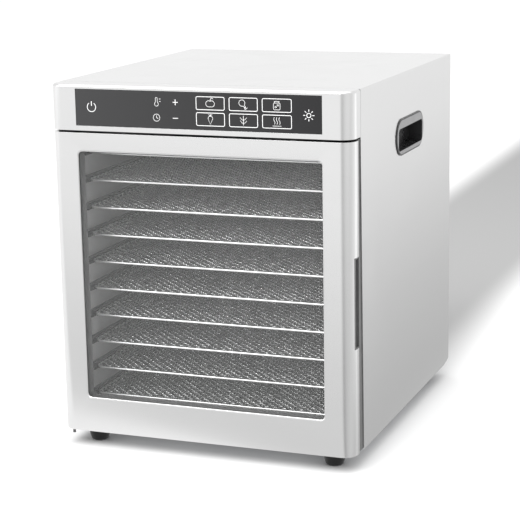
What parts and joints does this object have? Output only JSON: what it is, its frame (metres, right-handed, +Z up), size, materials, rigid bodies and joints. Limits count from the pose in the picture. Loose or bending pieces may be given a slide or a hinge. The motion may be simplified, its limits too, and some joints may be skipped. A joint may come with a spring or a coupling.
{
  "type": "food dehydrator",
  "caption": "Front-loading electric food dehydrator: steel cabinet with touch fascia, glazed swing door, sliding wire-mesh trays and a rear fan with ring heater.",
  "frame": {"origin": "middle of the footprint, on the surface that the feet stand on", "axes": "+Z up, the door faces -Y, +X to the right of someone facing the door"},
  "size_m": [0.348, 0.44, 0.409],
  "materials": {
    "casing_steel": "satin stainless sheet",
    "front_steel": "satin stainless door and fascia",
    "plated_steel": "zinc plated sheet",
    "frame_steel": "grey painted frame",
    "liner_steel": "mill finish stainless liner",
    "tray_wire": "polished stainless wire",
    "control_glass": "dark tinted glass",
    "door_glass": "clear tempered glass",
    "lamp_glass": "frosted lens",
    "seal_rubber": "grey silicone",
    "foot_rubber": "black rubber",
    "black_plastic": "textured black plastic",
    "grey_plastic": "dark grey plastic",
    "bezel_grey": "satin grey",
    "board": "circuit board",
    "aluminium": "bare aluminium",
    "laminations": "stacked motor steel",
    "copper_winding": "enamelled winding",
    "bronze": "sintered bronze",
    "heater_steel": "oxidised heater tube",
    "screw_steel": "plated screws",
    "pin_brass": "brass contacts",
    "magnet": "ferrite"
  },
  "bodies": {
    "cabinet": {"outer_casing": "casing_steel", "base_pan": "plated_steel", "back_panel": "plated_steel", "rear_cover": "plated_steel", "feet": "foot_rubber", "foot_screws": "screw_steel", "front_frame": "frame_steel", "fascia": "front_steel", "control_glass": "control_glass", "touch_board": "board", "display_module": "black_plastic", "power_board": "board", "chamber_roof": "liner_steel", "chamber_floor": "liner_steel", "chamber_rear_wall": "liner_steel", "air_baffle": "liner_steel", "heater_element": "heater_steel", "temperature_sensor": "screw_steel", "thermal_cutout": "black_plastic", "lamp_lens": "lamp_glass", "lamp_holder": "grey_plastic", "motor_stator": "laminations", "motor_coil": "copper_winding", "motor_brackets": "plated_steel", "motor_bearings": "bronze", "motor_screws": "screw_steel", "inlet_socket": "black_plastic", "inlet_pins": "pin_brass", "rear_screws": "screw_steel", "handle_bezels": "bezel_grey", "catch_plates": "screw_steel", "lower_hinge": "frame_steel", "upper_hinge": "frame_steel", "left_liner": "liner_steel", "right_liner": "liner_steel", "left_handle_cup": "black_plastic", "right_handle_cup": "black_plastic"},
    "door": {"door_shell": "front_steel", "glass_gasket": "seal_rubber", "door_glass": "door_glass", "door_inner_frame": "grey_plastic", "door_seal": "seal_rubber", "door_grip": "grey_plastic", "door_magnets": "magnet", "hinge_bushes": "black_plastic", "door_screws": "screw_steel"},
    "fan": {"fan_blade": "aluminium", "fan_nut": "screw_steel", "motor_rotor": "laminations"},
    "tray_01": {"tray_01": "tray_wire"},
    "tray_02": {"tray_02": "tray_wire"},
    "tray_03": {"tray_03": "tray_wire"},
    "tray_04": {"tray_04": "tray_wire"},
    "tray_05": {"tray_05": "tray_wire"},
    "tray_06": {"tray_06": "tray_wire"},
    "tray_07": {"tray_07": "tray_wire"},
    "tray_08": {"tray_08": "tray_wire"},
    "tray_09": {"tray_09": "tray_wire"},
    "tray_10": {"tray_10": "tray_wire"}
  },
  "joints": [
    {"name": "door_hinge", "type": "hinge", "parent": "cabinet", "child": "door", "pos_m": [-0.165, -0.207, 0.18765], "axis": [0, 0, -1], "range_deg": [0, 120]},
    {"name": "fan_spin", "type": "hinge", "parent": "cabinet", "child": "fan", "pos_m": [0, 0.14, 0.194], "axis": [0, 1, 0], "continuous": true},
    {"name": "tray_01_slide", "type": "slide", "parent": "cabinet", "child": "tray_01", "axis": [0, -1, 0], "range_m": [0, 0.011]},
    {"name": "tray_02_slide", "type": "slide", "parent": "cabinet", "child": "tray_02", "axis": [0, -1, 0], "range_m": [0, 0.011]},
    {"name": "tray_03_slide", "type": "slide", "parent": "cabinet", "child": "tray_03", "axis": [0, -1, 0], "range_m": [0, 0.011]},
    {"name": "tray_04_slide", "type": "slide", "parent": "cabinet", "child": "tray_04", "axis": [0, -1, 0], "range_m": [0, 0.011]},
    {"name": "tray_05_slide", "type": "slide", "parent": "cabinet", "child": "tray_05", "axis": [0, -1, 0], "range_m": [0, 0.011]},
    {"name": "tray_06_slide", "type": "slide", "parent": "cabinet", "child": "tray_06", "axis": [0, -1, 0], "range_m": [0, 0.011]},
    {"name": "tray_07_slide", "type": "slide", "parent": "cabinet", "child": "tray_07", "axis": [0, -1, 0], "range_m": [0, 0.011]},
    {"name": "tray_08_slide", "type": "slide", "parent": "cabinet", "child": "tray_08", "axis": [0, -1, 0], "range_m": [0, 0.011]},
    {"name": "tray_09_slide", "type": "slide", "parent": "cabinet", "child": "tray_09", "axis": [0, -1, 0], "range_m": [0, 0.011]},
    {"name": "tray_10_slide", "type": "slide", "parent": "cabinet", "child": "tray_10", "axis": [0, -1, 0], "range_m": [0, 0.011]}
  ]
}
